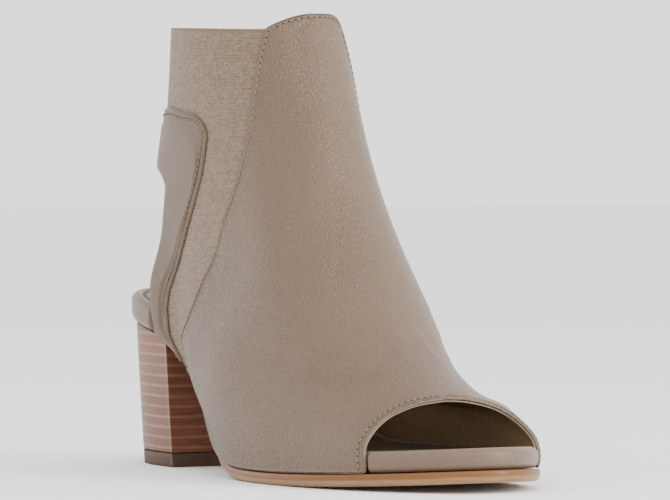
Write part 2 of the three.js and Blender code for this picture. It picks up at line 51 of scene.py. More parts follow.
# Sizes of the last
LAST_LENGTH = 240.0
BALL_WIDTH = 84.0
SHAFT_DEPTH = 90.0
SHAFT_WIDTH = 56.0
SHAFT_HEIGHT = 163.0
COLLAR_TILT = 1.9
TILT_FROM = 0.8
SEAT_HEIGHT = 53.0
BALL_HEIGHT = 4.5
TOE_SPRING = 4.4
TAB_RISE = 6.1
TAB_POWER_OUTER = 0.8
TAB_POWER_INNER = 5.5
TAB_START = 36.2
BREAST_FROM_BACK = 51.5
SHAFT_FROM = 0.13
SHAFT_BLEND = 0.6
FOOT_BLEND = 0.1
DEGREE_LENGTH = 0.75

# Sizes of the pieces
LEATHER = 1.1
ELASTIC_DEPTH = 0.95
ELASTIC_THICK = 1.1
LINING_DEPTH = 2.3
LINING_THICK = 0.5
CUT_EDGE = 0.12
FOOTBED_GAP = 3.6
FOOTBED_TOE = 7.6
FOOTBED_HEEL = 10.2
FOOTBED_ROUND = 3.1
FOOTBED_OUT_TOE = -0.3
FOOTBED_OUT_HEEL = 1.0
CUP_RISE = 1.5
SEAT_TAIL = 1.2
OUTSOLE_THICK = 4.4
OUTSOLE_WAIST = 2.6
OUTSOLE_EDGE = 0.4
OUTSOLE_TUCK = 2.2
WAIST_SHARE = 0.28
WAIST_END = 148.0
WAIST_FADE = 58.0
HEEL_FOOT_WIDTH = 52.8
HEEL_FOOT_DEPTH = 46.4
HEEL_INSET = 2.3
HEEL_SQUARENESS = 2.5
SEAT_TURN = -118.0
TOP_LIFT = 5.2
SEAM_GAP = 0.3
LAYER = 3.85
STITCH_PITCH = 2.4
STITCH_LENGTH = 1.7
THREAD = 0.3
EDGE_STEPS = 5
RIB_PITCH = 0.88
YARN_PITCH = 0.62
HOLE_LENGTH = 0.62
HOLE_RADIUS = 0.24
TAB_STITCH_INSET = 1.5
SEAM_STITCH_INSET = 1.3
ARCH_STITCH_INSET = 2.3
STRAP_STITCH_INSET = 2.2
STRAP_BAND = 7.0
STRAP_LIFT = 0.1
STRAP_PUFF = 0.6

# Underside of the foot: distance from the back as a share of the last, share of the seat's height
SHANK = np.array([
    (0.0, 1.0), (0.083, 0.99), (0.167, 0.938), (0.208, 0.866), (0.25, 0.763), (0.333, 0.474),
    (0.375, 0.309), (0.417, 0.171), (0.458, 0.076), (0.5, 0.025), (0.542, 0.006), (0.604, 0.0),
])
SPRING_START = 0.604

# Level rings of the last: up, back, span
PROFILE = np.array([
    (0.0, -0.0104, 1.0), (0.03, -0.0104, 0.996), (0.07, -0.01, 0.968), (0.13, -0.003, 0.869),
    (0.172, 0.005, 0.81), (0.22, 0.013, 0.768), (0.34, 0.029, 0.784), (0.5, 0.047, 0.96),
    (0.66, 0.063, 1.216), (0.82, 0.076, 1.137), (1.0, 0.0875, 1.0), (1.1, 0.094, 0.933),
])

# Half widths at seven places round each ring, and the sideways bend of the same places. Each row
# starts with its share up, and the places are turns from the front ridge.
PLACE_TURNS = np.array([0, 36.9, 66.4, 90, 113.6, 143.1, 180])
WIDTHS = np.array([
    (0.0, 0.555, 0.595, 0.53, 0.43, 0.375, 0.55, 0.68),
    (0.07, 0.565, 0.617, 0.55, 0.45, 0.39, 0.56, 0.68),
    (0.13, 0.56, 0.624, 0.562, 0.45, 0.39, 0.535, 0.63),
    (0.16, 0.553, 0.572, 0.542, 0.45, 0.39, 0.524, 0.606),
    (0.22, 0.54, 0.557, 0.543, 0.45, 0.39, 0.5, 0.56),
    (0.34, 0.58, 0.605, 0.51, 0.447, 0.4, 0.47, 0.51),
    (0.5, 0.57, 0.6, 0.52, 0.475, 0.46, 0.52, 0.55),
    (0.66, 0.525, 0.578, 0.543, 0.517, 0.51, 0.55, 0.58),
    (0.82, 0.473, 0.518, 0.518, 0.51, 0.51, 0.536, 0.554),
    (1.0, 0.446, 0.491, 0.5, 0.5, 0.5, 0.518, 0.536),
    (1.1, 0.438, 0.482, 0.49, 0.49, 0.49, 0.509, 0.527),
])
BEND = np.array([
    (0.0, 0.036, 0.03, -0.03, -0.071, -0.018, 0, 0),
    (0.13, 0.03, 0.052, -0.017, -0.06, -0.018, 0, 0),
    (0.16, 0.025, 0.007, -0.035, -0.057, -0.016, 0, 0),
    (0.22, 0.014, 0.002, -0.025, -0.048, -0.012, 0, 0),
    (0.34, 0.008, 0.004, -0.006, -0.024, -0.006, 0, 0),
    (0.5, 0, 0, -0.006, -0.006, 0, 0, 0),
    (0.66, 0, 0.003, 0.001, 0, 0, 0, 0),
    (0.86, 0.002, 0.008, 0.005, 0, 0, 0, 0),
    (1.0, 0, 0, 0, 0, 0, 0, 0),
    (1.1, 0, 0, 0, 0, 0, 0, 0),
])

# Edges of the leather pieces: turn, up
TOE_ARCH_OUTER = np.array([
    (0, 0.15), (13, 0.143), (22, 0.132), (28.8, 0.118), (36.2, 0.094), (41.7, 0.066), (43.6, 0.038),
    (44, 0),
])
TOE_ARCH_INNER = np.array([
    (0, 0.15), (10.7, 0.147), (20, 0.137), (27, 0.118), (30.6, 0.096), (32.2, 0.07), (32.8, 0.036),
    (33, 0),
])
VAMP_SEAM = np.array([
    (115.8, 0), (106, 0.18), (96.2, 0.307), (86.1, 0.418), (78.8, 0.476), (71.6, 0.56),
    (64.9, 0.622), (59.1, 0.687), (53.6, 0.766), (49, 0.854), (42.8, 0.935), (36.2, 1.0),
])
CUT_OUT = np.array([
    (129, 0), (129, 0.1), (128.7, 0.18), (127, 0.26), (125, 0.36), (123.5, 0.44), (121.6, 0.495),
    (125, 0.518), (137, 0.537), (158, 0.546), (180, 0.548),
])
STRAP_EDGE = np.array([
    (117, 0), (119.5, 0.012), (121.6, 0.037), (119.8, 0.124), (118.1, 0.182), (114, 0.28),
    (107.5, 0.39), (99.2, 0.52), (92.6, 0.6), (86.4, 0.668), (82.5, 0.728), (81.2, 0.763),
    (85.3, 0.791), (93.6, 0.802), (109.2, 0.78), (136, 0.739), (180, 0.731),
])

# Soft folds of the front leather: their way over the last, width and depth in mm
FOLDS = [
    ([(-12, 0.98), (-21, 0.86), (-29, 0.76), (-36, 0.64), (-44, 0.51)], 7.0, 0.22),
    ([(10, 0.95), (13, 0.82), (14, 0.68), (12, 0.56)], 6.5, 0.14),
    ([(-55, 0.6), (-60, 0.48), (-70, 0.36)], 8.0, 0.22),
    ([(2, 0.335), (7, 0.285), (11, 0.235), (13, 0.2)], 3.0, 0.16),
    ([(-3, 0.3), (2, 0.255), (5, 0.21), (7, 0.18)], 2.6, 0.14),
    ([(-10, 0.27), (-5, 0.235), (-1, 0.2)], 2.4, 0.1),
    ([(14, 0.33), (19, 0.28), (22, 0.23)], 3.2, 0.16),
    ([(-63, 0.335), (-37, 0.317), (-17, 0.29)], 2.4, 0.12),
    ([(-70, 0.29), (-39, 0.27), (-17, 0.245)], 2.6, 0.12),
    ([(-59, 0.235), (-33, 0.213), (-16, 0.19)], 2.6, 0.1),
    ([(60, 0.34), (36, 0.32), (18, 0.29)], 2.6, 0.14),
    ([(66, 0.28), (40, 0.262), (20, 0.24)], 2.6, 0.12),
]

heel_low, heel_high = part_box("heel")


def ease(t):
    t = np.clip(t, 0, 1)
    return t * t * (3 - 2 * t)


def through(xs, ys, x):
    """Smooth curve through knots. ys has a row for each knot, and may hold a value per place."""
    x = np.clip(np.asarray(x, float), xs[0], xs[-1])
    last = len(xs) - 1
    i = np.clip(np.searchsorted(xs, x, side="left") - 1, 0, last - 1)
    ys = np.asarray(ys, float)
    if ys.ndim == 1:
        ys = np.repeat(ys[:, None], x.size, 1)
    places = np.arange(x.size)
    low = np.maximum(np.arange(last + 1) - 1, 0)
    high = np.minimum(np.arange(last + 1) + 1, last)
    slopes = (ys[high] - ys[low]) / (xs[high] - xs[low])[:, None]
    h = xs[i + 1] - xs[i]
    t = (x - xs[i]) / h
    t2 = t * t
    t3 = t2 * t
    start = (2 * t3 - 3 * t2 + 1) * ys[i, places] + (t3 - 2 * t2 + t) * h * slopes[i, places]
    end = (3 * t2 - 2 * t3) * ys[i + 1, places] + (t3 - t2) * h * slopes[i + 1, places]
    return start + end


def shaft_share(up):
    """How far a ring has passed from the foot's size to the shaft's."""
    return ease((up - SHAFT_FROM) / SHAFT_BLEND)


def ring_depth(up):
    return LAST_LENGTH + (SHAFT_DEPTH - LAST_LENGTH) * shaft_share(up)


def ring_width(up):
    return BALL_WIDTH + (SHAFT_WIDTH - BALL_WIDTH) * shaft_share(up)


def ring_back(up):
    return through(PROFILE[:, 0], PROFILE[:, 1] * LAST_LENGTH, np.atleast_1d(up))


def ring_span(up):
    return through(PROFILE[:, 0], PROFILE[:, 2] * ring_depth(PROFILE[:, 0]), np.atleast_1d(up))


def feather_height(distance):
    """Height of the line where the upper meets the sole."""
    distance = np.atleast_1d(distance)
    along = distance / LAST_LENGTH
    rise = through(SHANK[:, 0], SHANK[:, 1], along)
    spring = np.clip((along - SPRING_START) / (1 - SPRING_START), 0, 1) ** 1.7
    return BALL_HEIGHT + rise * (SEAT_HEIGHT - BALL_HEIGHT) + spring * TOE_SPRING


def last_point(turn, up):
    """Points on the outside of the last, in mm from the back of the heel seat."""
    turn, up = np.broadcast_arrays(np.asarray(turn, float), np.asarray(up, float))
    shape = turn.shape
    turn = turn.ravel()
    up = up.ravel()
    widths = WIDTHS[:, 1:] * ring_width(WIDTHS[:, 0])[:, None]
    halves = np.array([through(WIDTHS[:, 0], widths[:, k], up) for k in range(7)])
    middles = np.array([through(BEND[:, 0], BEND[:, 1 + k] * BALL_WIDTH, up) for k in range(7)])
    around = np.abs(turn)
    half = through(PLACE_TURNS, halves, around)
    middle = through(PLACE_TURNS, middles, around)
    forward = (1 + np.cos(np.radians(turn))) / 2
    x = ring_back(up) + ring_span(up) * forward
    y = middle + np.sin(np.radians(turn)) * half
    foot = feather_height(ring_back(0.0) + ring_span(0.0) * forward)
    tilt = COLLAR_TILT * (1 - forward) * ease((up - TILT_FROM) / (1 - TILT_FROM))
    z = foot + (SHAFT_HEIGHT - foot) * up + tilt
    return np.stack([x, y, z], 1).reshape(*shape, 3)


def unit(v):
    return v / np.maximum(np.linalg.norm(v, axis=-1, keepdims=True), 1e-9)


def outward(turn, up):
    """Directions away from the last, level at the sole."""
    around = last_point(turn + 0.4, up) - last_point(turn - 0.4, up)
    rise = last_point(turn, up + 0.004) - last_point(turn, np.maximum(0, up - 0.004))
    normal = unit(np.cross(around, rise))
    normal[..., 2] *= ease(up / FOOT_BLEND)
    return unit(normal)


def wall_point(turn, up, depth):
    """Points under the outside of the last, which near the sole keep to the sole's own slope."""
    turn, up, depth = np.broadcast_arrays(
        np.asarray(turn, float), np.asarray(up, float), np.asarray(depth, float)
    )
    outside = last_point(turn, up)
    point = outside - outward(turn, up) * depth[..., None]
    slope = feather_height(point[..., 0].ravel()) - feather_height(outside[..., 0].ravel())
    point[..., 2] += slope.reshape(turn.shape) * (1 - ease(up / FOOT_BLEND))
    return point


def edge(rows, share):
    """Places along an edge table, read by the share of its length passed."""
    steps = np.hypot(np.diff(rows[:, 0]) * DEGREE_LENGTH, np.diff(rows[:, 1]) * SHAFT_HEIGHT)
    lengths = np.concatenate([[0], np.cumsum(steps)])
    at = np.atleast_1d(share) * lengths[-1]
    return through(lengths, rows[:, 0], at), through(lengths, rows[:, 1], at)


def collar_up(turn):
    """Upper edge of the front leather, with its tab."""
    on_tab = np.clip(1 - np.abs(turn) / TAB_START, 0, 1)
    outer = np.sin(on_tab * math.pi / 2) ** TAB_POWER_OUTER
    inner = 1 - (1 - on_tab) ** TAB_POWER_INNER
    share = np.where(np.asarray(turn) < 0, outer, inner)
    return 1 + TAB_RISE / (SHAFT_HEIGHT - BALL_HEIGHT) * share


BREAST = float(ring_back(0.0)[0]) + BREAST_FROM_BACK
SHIFT = np.array([heel_high.x / MM - BREAST, (heel_low.y + heel_high.y) / 2 / MM, 0.0])


def in_row(points):
    """Moves points from the last's frame in mm to the row's in metres."""
    return (np.asarray(points, float) + SHIFT) * MM


def crowded(count, share=0.45):
    """Shares from 0 to 1 that lie closer together at both ends."""
    t = np.linspace(0, 1, count)
    return t + (0.5 - 0.5 * np.cos(math.pi * t) - t) * share


def even_lines(way, count, inset):
    """Shares along a family of ways between two edges, which lie evenly on the surface."""
    fine = np.linspace(0, 1, 200)[None, :]
    turns, ups = way(fine)
    points = last_point(turns, ups)
    steps = np.linalg.norm(np.diff(points, axis=1), axis=2)
    lengths = np.concatenate([np.zeros((len(turns), 1)), np.cumsum(steps, 1)], 1)
    spread = crowded(count)
    shares = np.empty((len(turns), count))
    for i, length in enumerate(lengths):
        wanted = inset + (length[-1] - 2 * inset) * spread
        shares[i] = np.interp(wanted, length, fine[0])
    return shares


def evened(turns, ups, rounds):
    """Evens out a grid inside its border, away from its lower edge, so that no ways cross."""
    rows = turns.shape[1]
    kept, fade = 0.017, 0.087
    share = np.clip((np.arange(rows) / rows - kept) / fade, 0, 1)[None, 1:-1]
    for k in range(rounds):
        for grid in (turns, ups):
            beside = grid[:-2, 1:-1] + grid[2:, 1:-1] + grid[1:-1, :-2] + grid[1:-1, 2:]
            grid[1:-1, 1:-1] += share * (beside / 4 - grid[1:-1, 1:-1])
    return turns, ups


def beside_straight(t):
    """How far the front seam lies from a straight way between its ends, as turns and shares."""
    turns, ups = edge(VAMP_SEAM, t.ravel())
    straight = VAMP_SEAM[0, 0] + (VAMP_SEAM[-1, 0] - VAMP_SEAM[0, 0]) * t
    return turns.reshape(t.shape) - straight, ups.reshape(t.shape) - t


def vamp_places(columns, rows, inset, beyond=0.0, rounds=100):
    """Grid of places over the front leather, from the outer seam to the inner one."""
    s = 2 * crowded(columns, 0.3) - 1
    s *= 1 - inset / 150
    side = np.where(s < 0, -1.0, 1.0)
    share = np.abs(s)
    on_arch = 0.3
    turn_a = np.empty(columns)
    up_a = np.zeros(columns)
    for sign, arch in ((-1.0, TOE_ARCH_OUTER), (1.0, TOE_ARCH_INNER)):
        here = side == sign
        turns, ups = edge(arch, np.minimum(share / on_arch, 1))
        along = np.clip((share - on_arch) / (1 - on_arch), 0, 1)
        foot = arch[-1, 0] + (VAMP_SEAM[0, 0] + beyond - arch[-1, 0]) * along
        turns = np.where(share < on_arch, turns, foot)
        ups = np.where(share < on_arch, ups, 0)
        turn_a[here] = (sign * turns)[here]
        up_a[here] = ups[here]
    turn_b = side * (VAMP_SEAM[-1, 0] + beyond) * share
    up_b = collar_up(turn_b)
    # Ways leave the toe arch leaning outwards, and run straight up beside it
    lean = np.radians(50) * ease(share / 0.2) * (1 - ease((share - 0.25) / 0.3))
    near = 1 - ease((share - 0.3) / 0.5)
    reach = 11.0
    turn_c = turn_a + side * np.sin(lean) * reach / 1.4
    up_c = up_a + np.cos(lean) * reach / SHAFT_HEIGHT
    turn_c = turn_a + (turn_b - turn_a) / 3 * (1 - near) + (turn_c - turn_a) * near
    up_c = up_a + (up_b - up_a) / 3 * (1 - near) + (up_c - up_a) * near
    turn_d = turn_a + (turn_b - turn_a) * 2 / 3
    up_d = up_a + (up_b - up_a) * 2 / 3
    # The outer ways follow the seam's own curve
    bend = (share**2)[:, None]

    def way(t):
        t = np.broadcast_to(t, (columns, t.shape[1]))
        weights = ((1 - t) ** 3, 3 * (1 - t) ** 2 * t, 3 * (1 - t) * t**2, t**3)
        turns = sum(w * knot[:, None] for w, knot in zip(weights, (turn_a, turn_c, turn_d, turn_b)))
        ups = sum(w * knot[:, None] for w, knot in zip(weights, (up_a, up_c, up_d, up_b)))
        more_turn, more_up = beside_straight(t)
        return turns + side[:, None] * more_turn * bend, ups + more_up * bend

    return evened(*way(even_lines(way, rows, inset)), rounds)


def round_back(columns):
    """Side and share of the way to the middle of the back, from the inner seam to the outer one."""
    t = np.linspace(1, 0, columns)
    return np.where(t < 0.5, -1.0, 1.0), np.where(t < 0.5, 2 * t, 2 - 2 * t)


def back_places(columns, rows, inset, under=5.0):
    """Grid of places over the elastic, from under one seam round the back to the other."""
    side, share = round_back(columns)
    foot_end, corner, cut_corner = 0.14, 0.66, 0.64
    along_foot = np.clip(share / foot_end, 0, 1)
    start = VAMP_SEAM[0, 0] - under
    turn_foot = start + (CUT_OUT[0, 0] - start) * along_foot
    up_the_cut = np.clip((share - foot_end) / (corner - foot_end), 0, 1) * cut_corner
    over_the_cut = np.clip((share - corner) / (1 - corner), 0, 1) * (1 - cut_corner)
    turn_cut, up_cut = edge(CUT_OUT, up_the_cut + over_the_cut)
    turn_a = np.where(share < foot_end, turn_foot, turn_cut)
    up_a = np.where(share < foot_end, 0, up_cut)
    knots = np.array([0, foot_end, corner, 1])
    turn_b = through(knots, np.array([VAMP_SEAM[-1, 0] - under, 60, 122, 180]), share)
    up_b = np.ones(columns)
    fade = (np.clip(1 - share / 0.5, 0, 1) ** 2)[:, None]

    def way(t):
        t = np.broadcast_to(t, (columns, t.shape[1]))
        turns = turn_a[:, None] + (turn_b - turn_a)[:, None] * t
        ups = up_a[:, None] + (up_b - up_a)[:, None] * t
        more_turn, more_up = beside_straight(t)
        return side[:, None] * (turns + more_turn * fade), ups + more_up * fade

    return way(even_lines(way, rows, inset))


def strap_places(columns, rows, inset):
    """Grid of places over the back leather, from the cut-out's edge to the stitched edge."""
    side, share = round_back(columns)
    tail = 0.07
    foot_turn = STRAP_EDGE[0, 0] + (CUT_OUT[0, 0] - STRAP_EDGE[0, 0]) * np.clip(share / tail, 0, 1)
    cut_turn, cut_up = edge(CUT_OUT, np.clip((share - tail) / (1 - tail), 0, 1))
    turn_a = np.where(share < tail, foot_turn, cut_turn)
    up_a = np.where(share < tail, 0, cut_up)
    turn_b, up_b = edge(STRAP_EDGE, share)
    lengths = np.linalg.norm(last_point(turn_b, up_b) - last_point(turn_a, up_a), axis=1)
    trim = np.minimum(inset / np.maximum(lengths, 1e-3), 0.3)[:, None]
    across = trim + (1 - 2 * trim) * crowded(rows, 0.3)[None, :]
    turns = turn_a[:, None] + (turn_b - turn_a)[:, None] * across
    ups = up_a[:, None] + (up_b - up_a)[:, None] * across
    return side[:, None] * turns, ups, across * lengths[:, None], lengths[:, None]


def grid_normals(points):
    return unit(np.cross(np.gradient(points, axis=0), np.gradient(points, axis=1)))


def border_of(index):
    """Vertex numbers round the border of a grid, in order."""
    return np.concatenate([index[:, 0], index[-1, 1:], index[-2::-1, -1], index[0, -2:0:-1]])


def grid_faces(index, turned=False):
    corners = [index[:-1, :-1], index[1:, :-1], index[1:, 1:], index[:-1, 1:]]
    faces = np.stack([corner.ravel() for corner in corners], 1)
    return (faces[:, [0, 3, 2, 1]] if turned else faces).tolist()


def band_faces(before, after):
    """Faces between one closed ring of vertices and the next."""
    faces = np.stack([before, after, np.roll(after, -1), np.roll(before, -1)], 1)
    return faces[:, ::-1].tolist()


def cap_faces(ring, turned):
    """Strips across a ring, from one half to the other."""
    faces = []
    for k in range((len(ring) - 1) // 2):
        face = [ring[k], ring[k + 1], ring[-2 - k], ring[-1 - k]]
        if face[1] == face[2]:
            face.pop(2)
        faces.append(face[::-1] if turned else face)
    return faces


def new_object(name, data):
    obj = bpy.data.objects.new(name, data)
    bpy.context.scene.collection.objects.link(obj)
    return obj


def mesh_object(name, points, faces, material, attributes=None, uv=None):
    mesh = bpy.data.meshes.new(name)
    mesh.from_pydata(in_row(points).tolist(), [], faces)
    mesh.update()
    for key, values in (attributes or {}).items():
        layer = mesh.attributes.new(key, "FLOAT", "POINT")
        layer.data.foreach_set("value", np.asarray(values, np.float32))
    if uv is not None:
        layer = mesh.uv_layers.new(name="surface")
        corners = np.empty(len(mesh.loops), np.int64)
        mesh.loops.foreach_get("vertex_index", corners)
        layer.data.foreach_set("uv", np.asarray(uv, np.float32)[corners].ravel())
    mesh.polygons.foreach_set("use_smooth", np.ones(len(mesh.polygons), bool))
    obj = new_object(name, mesh)
    obj.data.materials.append(material)
    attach(obj, "root")
    return obj


def panel(name, outer, thick, material, tuck=1.2, uv=None, back=True, shares=None):
    """A sheet of leather or cloth: its face, a round edge on every side and its reverse.

    Without a reverse, the edge is tucked in under the face. The mesh holds every point's distance
    from the border.
    """
    normals = grid_normals(outer)
    flat = outer.reshape(-1, 3)
    points = [flat]
    index = np.arange(len(flat)).reshape(outer.shape[:2])
    border = border_of(index)
    ring = flat[border]
    ring_normals = normals.reshape(-1, 3)[border]
    tangents = unit(np.roll(ring, -1, 0) - np.roll(ring, 1, 0))
    away = unit(np.cross(tangents, ring_normals))
    radius = thick / 2
    count = len(border)
    faces = grid_faces(index)
    start = len(flat)
    before = border
    for angle in np.linspace(0, math.pi, EDGE_STEPS + 1)[1:]:
        rim = ring + away * radius * math.sin(angle) - ring_normals * radius * (1 - math.cos(angle))
        points.append(rim)
        after = np.arange(start, start + count)
        faces += band_faces(before, after)
        before = after
        start += count
    if back:
        points.append((outer - normals * thick).reshape(-1, 3))
        faces += grid_faces(index + start, True)
        faces += band_faces(before, border + start)
    else:
        points.append(ring - ring_normals * thick - away * tuck)
        faces += band_faces(before, np.arange(start, start + count))
    everything = np.concatenate(points)
    tree = kdtree.KDTree(count)
    for i, p in enumerate(ring):
        tree.insert(p, i)
    tree.balance()
    distance = np.zeros(len(everything))
    for i, p in enumerate(flat):
        distance[i] = tree.find(p)[2]
    if back:
        distance[-len(flat):] = distance[:len(flat)]

    def at_every_point(values):
        last = values if back else values[border]
        return np.concatenate([values] + [values[border]] * EDGE_STEPS + [last])

    attributes = {"from_edge": distance}
    for key, values in (shares or {}).items():
        attributes[key] = at_every_point(values.ravel())
    if uv is not None:
        uv = at_every_point(uv.reshape(-1, 2))
    return mesh_object(name, everything, faces, material, attributes, uv)


def folded(turns, ups, points, normals, folds):
    """Presses soft troughs with low ridges beside them into a grid of points."""
    moved = np.zeros(turns.shape)
    for way, width, depth in folds:
        way = np.array(way, float)
        knots = np.linspace(0, 1, len(way))
        t = np.linspace(0, 1, 50)
        line = last_point(through(knots, way[:, 0], t), through(knots, way[:, 1], t))
        taper = np.sin(math.pi * t) ** 0.6
        near = np.all(points > line.min(0) - 4 * width, 2) & np.all(points < line.max(0) + 4 * width, 2)
        gaps = np.linalg.norm(points[near][:, None, :] - line[None], axis=2)
        nearest = gaps.argmin(1)
        r = gaps.min(1) / width
        shape = -np.exp(-(r**2)) + 0.45 * np.exp(-(((r - 1.7) / 0.8) ** 2))
        moved[near] += depth * taper[nearest] * shape
    return points + normals * moved[..., None]


def slow_wave(points, seed, pitch, height):
    """Gentle unevenness of a hand made piece."""
    chance = random.Random(seed)
    total = np.zeros(points.shape[:-1])
    for i in range(6):
        way = np.array([chance.uniform(-1, 1) for k in range(3)])
        way = way / np.linalg.norm(way) * 2 * math.pi / (pitch * chance.uniform(0.7, 1.6))
        total += np.sin(points @ way + chance.uniform(0, 6.3))
    return total * height / 3


# Materials


def new_material(name):
    material = bpy.data.materials.new(name)
    material.use_nodes = True
    tree = material.node_tree
    return material, tree, tree.nodes["Principled BSDF"]


def feed(tree, socket, value):
    """Gives a shader input the output of another node, or a plain value."""
    if isinstance(value, bpy.types.NodeSocket):
        tree.links.new(value, socket)
    else:
        socket.default_value = value


def node(tree, kind, inputs=(), **settings):
    made = tree.nodes.new(kind)
    for key, value in settings.items():
        setattr(made, key, value)
    for key, value in dict(inputs).items():
        feed(tree, made.inputs[key], value)
    return made


def maths(tree, operation, a, b=0.0):
    return node(tree, "ShaderNodeMath", {0: a, 1: b}, operation=operation).outputs[0]


def ramp(tree, value, low, high, to_low=0.0, to_high=1.0):
    inputs = {"Value": value, "From Min": low, "From Max": high, "To Min": to_low, "To Max": to_high}
    return node(tree, "ShaderNodeMapRange", inputs).outputs[0]


def blend(tree, share, a, b):
    made = tree.nodes.new("ShaderNodeMix")
    made.data_type = "RGBA"
    feed(tree, made.inputs[0], share)
    feed(tree, made.inputs[6], a)
    feed(tree, made.inputs[7], b)
    return made.outputs[2]


def stretched(tree, scale):
    coordinates = node(tree, "ShaderNodeTexCoord").outputs["Object"]
    return node(tree, "ShaderNodeMapping", {"Vector": coordinates, "Scale": scale}).outputs[0]


def noise(tree, vector, scale, detail=2.0, roughness=0.5):
    inputs = {"Vector": vector, "Scale": scale, "Detail": detail, "Roughness": roughness}
    return node(tree, "ShaderNodeTexNoise", inputs).outputs[0]


def told(tree, name):
    """A value that the mesh holds at every point."""
    return node(tree, "ShaderNodeAttribute", attribute_name=name).outputs["Fac"]


def bumped(tree, shader, height, strength, distance):
    bump = node(tree, "ShaderNodeBump", {"Height": height, "Strength": strength, "Distance": distance})
    tree.links.new(bump.outputs[0], shader.inputs["Normal"])
    return bump


def surface(tree, shader, **values):
    """Gives the shader its colour and finish. An underscore stands for a space."""
    for key, value in values.items():
        feed(tree, shader.inputs[key.replace("_", " ")], value)


def rgb(red, green, blue):
    return (red, green, blue, 1.0)


def times(color, share):
    return tuple(share * c for c in color[:3]) + (1.0,)


def leather(name, color, edge_highlight=None, grain=0.95, roughness=0.38, coat=0.28, band_shade=None):
    """Fine full grain leather with a soft finish, which may have a painted highlight along its turned
    edge and painted shade on a flat band.
    """
    material, tree, shader = new_material(name)
    place = stretched(tree, (1000, 1000, 480))
    cells = node(
        tree, "ShaderNodeTexVoronoi", {"Vector": place, "Scale": 1.15, "Randomness": 1.0},
        feature="DISTANCE_TO_EDGE",
    ).outputs[0]
    pebble = ramp(tree, cells, 0.0, 0.3)
    wisps = noise(tree, stretched(tree, (1000, 1000, 360)), 0.9, 3.0, 0.65)
    level_lines = noise(tree, stretched(tree, (260, 260, 1300)), 1.0, 2.0, 0.6)
    patches = noise(tree, place, 0.045, 2.0, 0.5)
    area = ramp(tree, noise(tree, place, 0.03, 1.0, 0.5), 0.35, 0.65, 0.5, 1.0)
    mixed = maths(tree, "ADD", maths(tree, "MULTIPLY", pebble, 0.6), wisps)
    lined = maths(tree, "ADD", mixed, maths(tree, "MULTIPLY", level_lines, 0.35))
    height = maths(tree, "MULTIPLY", lined, area)
    bump = bumped(tree, shader, height, grain, 0.00035)
    tree.links.new(bump.outputs[0], shader.inputs["Coat Normal"])
    tone = blend(tree, ramp(tree, patches, 0.38, 0.62), times(color, 0.92), color)
    shade = blend(tree, ramp(tree, mixed, 0.35, 0.95), times(color, 0.88), tone)
    # Painted shade: the flat stitched band beside the padding is darker.
    if band_shade is not None:
        shade = blend(tree, told(tree, "on_pad"), band_shade, shade)
    # Painted highlight: the turned edge is paler, as if lit along its rounded fold.
    if edge_highlight is not None:
        at_edge = ramp(tree, told(tree, "from_edge"), 0.0, 1.0, 0.8, 0.0)
        shade = blend(tree, at_edge, shade, edge_highlight)
    gloss = ramp(tree, mixed, 0.3, 1.2, roughness + 0.1, roughness - 0.05)
    surface(tree, shader, Base_Color=shade, Roughness=gloss, Specular_IOR_Level=0.2)
    surface(tree, shader, Coat_Weight=coat, Coat_Roughness=0.18)
    return material


def ribbed_elastic(name, color, painted_shade):
    """Woven elastic: level ribs of rubber cored cords, bound by fine upright threads, with painted
    shade in the grooves between the ribs.
    """
    material, tree, shader = new_material(name)
    place = node(tree, "ShaderNodeUVMap", uv_map="surface").outputs[0]
    parts = node(tree, "ShaderNodeSeparateXYZ", {0: place})
    across, up = parts.outputs[0], parts.outputs[1]
    wander = maths(tree, "MULTIPLY", noise(tree, place, 0.06, 1.0, 0.5), 0.5)
    ribs = maths(tree, "ADD", maths(tree, "DIVIDE", up, RIB_PITCH), wander)
    waves = maths(tree, "SINE", maths(tree, "MULTIPLY", ribs, 2 * math.pi))
    rib = ramp(tree, waves, -1.0, 1.0)
    threads = maths(tree, "SINE", maths(tree, "MULTIPLY", across, 2 * math.pi / YARN_PITCH))
    thread = ramp(tree, threads, -1.0, 1.0)
    row = maths(tree, "FLOOR", ribs)
    along = maths(tree, "FLOOR", maths(tree, "DIVIDE", across, 1.3))
    cell = node(tree, "ShaderNodeCombineXYZ", {0: along, 1: row}).outputs[0]
    chance = node(tree, "ShaderNodeTexWhiteNoise", {"Vector": cell}).outputs[0]
    height = maths(tree, "ADD", rib, maths(tree, "MULTIPLY", thread, 0.35))
    height = maths(tree, "ADD", height, maths(tree, "MULTIPLY", chance, 0.2))
    bumped(tree, shader, height, 0.4, 0.0002)
    speckle = maths(tree, "MULTIPLY", chance, noise(tree, place, 0.5, 2.0, 0.6))
    # Painted shade: darker colour in the grooves between the ribs.
    shade = blend(tree, ramp(tree, rib, 0.0, 0.8), painted_shade, color)
    shade = blend(tree, ramp(tree, speckle, 0.1, 0.5, 0.0, 0.3), shade, rgb(0.3, 0.25, 0.2))
    hem = ramp(tree, told(tree, "from_edge"), 0.8, 1.3, 0.8, 0.0)
    shade = blend(tree, hem, shade, times(color, 0.9))
    surface(tree, shader, Base_Color=shade, Roughness=0.85, Specular_IOR_Level=0.25)
    surface(tree, shader, Sheen_Weight=0.15)
    return material


